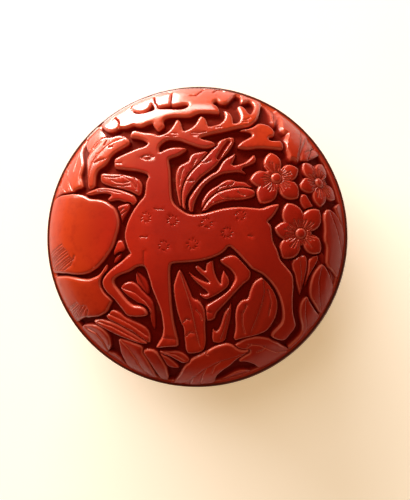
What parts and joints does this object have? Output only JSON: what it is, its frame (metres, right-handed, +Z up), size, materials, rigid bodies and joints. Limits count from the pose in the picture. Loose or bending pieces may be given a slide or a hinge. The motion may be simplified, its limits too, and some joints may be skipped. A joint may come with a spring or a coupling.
{
  "type": "lidded trinket box",
  "caption": "Round steamed-bun shaped trinket box in carved red lacquer with a black lining; its domed lid lifts off an upright collar.",
  "frame": {"origin": "centre of the plane that the foot ring rests on", "axes": "+Z up along the turning axis towards the lid; seen from above with +Y up the picture, the deer faces -X"},
  "size_m": [0.076, 0.076, 0.0382],
  "materials": {
    "carved_red_lacquer": "polished carved lacquer, satin gloss",
    "black_lacquer": "gloss black lacquer",
    "turned_wood": "bare turned wood"
  },
  "bodies": {
    "base": {"base_carved_lacquer": "carved_red_lacquer", "base_core": "turned_wood", "base_lining": "black_lacquer", "base_collar": "black_lacquer", "foot_ring": "black_lacquer", "base_underside": "black_lacquer"},
    "lid": {"lid_carved_lacquer": "carved_red_lacquer", "lid_core": "turned_wood", "lid_lining": "black_lacquer"}
  },
  "joints": [
    {"name": "lid_lift", "type": "slide", "parent": "base", "child": "lid", "axis": [0, 0, 1], "range_m": [0, 0.04]}
  ]
}
